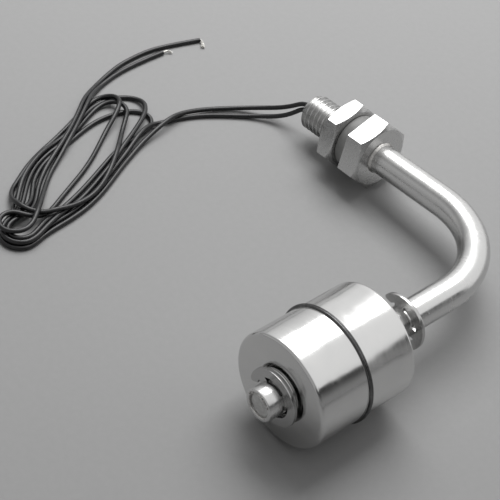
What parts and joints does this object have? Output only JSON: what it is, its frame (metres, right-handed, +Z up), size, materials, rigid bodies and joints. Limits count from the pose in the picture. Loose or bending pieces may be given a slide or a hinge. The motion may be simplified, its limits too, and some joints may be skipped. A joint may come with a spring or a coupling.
{
  "type": "float level switch",
  "caption": "Side-mounted stainless float level switch: bent stem with a sliding float held between clips, threaded fitting with gasket and lock nut, and thin leads looped in a hank",
  "frame": {"origin": "under the middle of the box around the switch without its free leads, on the plane that it lies on", "axes": "+Z up; the float arm points along -Y and is level; the thread arm points along -X and dips 4.26 degrees to the cable end"},
  "size_m": [0.1411, 0.1033, 0.0293],
  "materials": {
    "tube_steel": "polished",
    "clip_steel": "satin",
    "fitting_steel": "machined",
    "float_steel": "polished",
    "ferrite": "matte",
    "gasket_rubber": "matte",
    "reed_glass": "clear",
    "reed_metal": "plated",
    "liner_plastic": "smooth",
    "resin": "cured",
    "lead_insulation": "smooth",
    "tinned_copper": "tinned"
  },
  "bodies": {
    "stem": {"stem_tube": "tube_steel", "tip_plug": "tube_steel", "rear_clip": "clip_steel", "front_clip": "clip_steel", "threaded_fitting": "fitting_steel", "reed_glass": "reed_glass", "reed_blade_near": "reed_metal", "reed_blade_far": "reed_metal", "reed_return_wire": "reed_metal", "reed_liner": "liner_plastic", "stem_lead_a": "lead_insulation", "stem_lead_b": "lead_insulation", "potting_resin": "resin", "lead_a_start": "lead_insulation", "lead_b_start": "lead_insulation", "lead_hank": "lead_insulation", "lead_a_end": "lead_insulation", "lead_b_end": "lead_insulation", "lead_a_tip": "tinned_copper", "lead_b_tip": "tinned_copper"},
    "float_core": {"float_magnet": "ferrite"},
    "float": {"float_front_shell": "float_steel", "float_rear_shell": "float_steel", "float_sleeve": "float_steel"},
    "gasket": {"sealing_gasket": "gasket_rubber"},
    "nut": {"lock_nut": "fitting_steel"}
  },
  "joints": [
    {"name": "float_slide", "type": "slide", "parent": "stem", "child": "float_core", "axis": [0, 1, 0], "range_m": [-0.00035, 0.00875]},
    {"name": "float_spin", "type": "hinge", "parent": "float_core", "child": "float", "pos_m": [0.02933, -0.02657, 0.01465], "axis": [0, 1, 0], "continuous": true},
    {"name": "nut_travel", "type": "slide", "parent": "stem", "child": "gasket", "axis": [-0.9972, 0, -0.0742], "range_m": [0, 0.0105]},
    {"name": "nut_turn", "type": "hinge", "parent": "gasket", "child": "nut", "pos_m": [-0.03001, 0.03683, 0.00954], "axis": [-0.9972, 0, -0.0742], "range_deg": [0, 2520]}
  ],
  "couplings": [
    {"joint": "nut_travel", "follows": "nut_turn", "m_per_rad": 0.00023873}
  ]
}
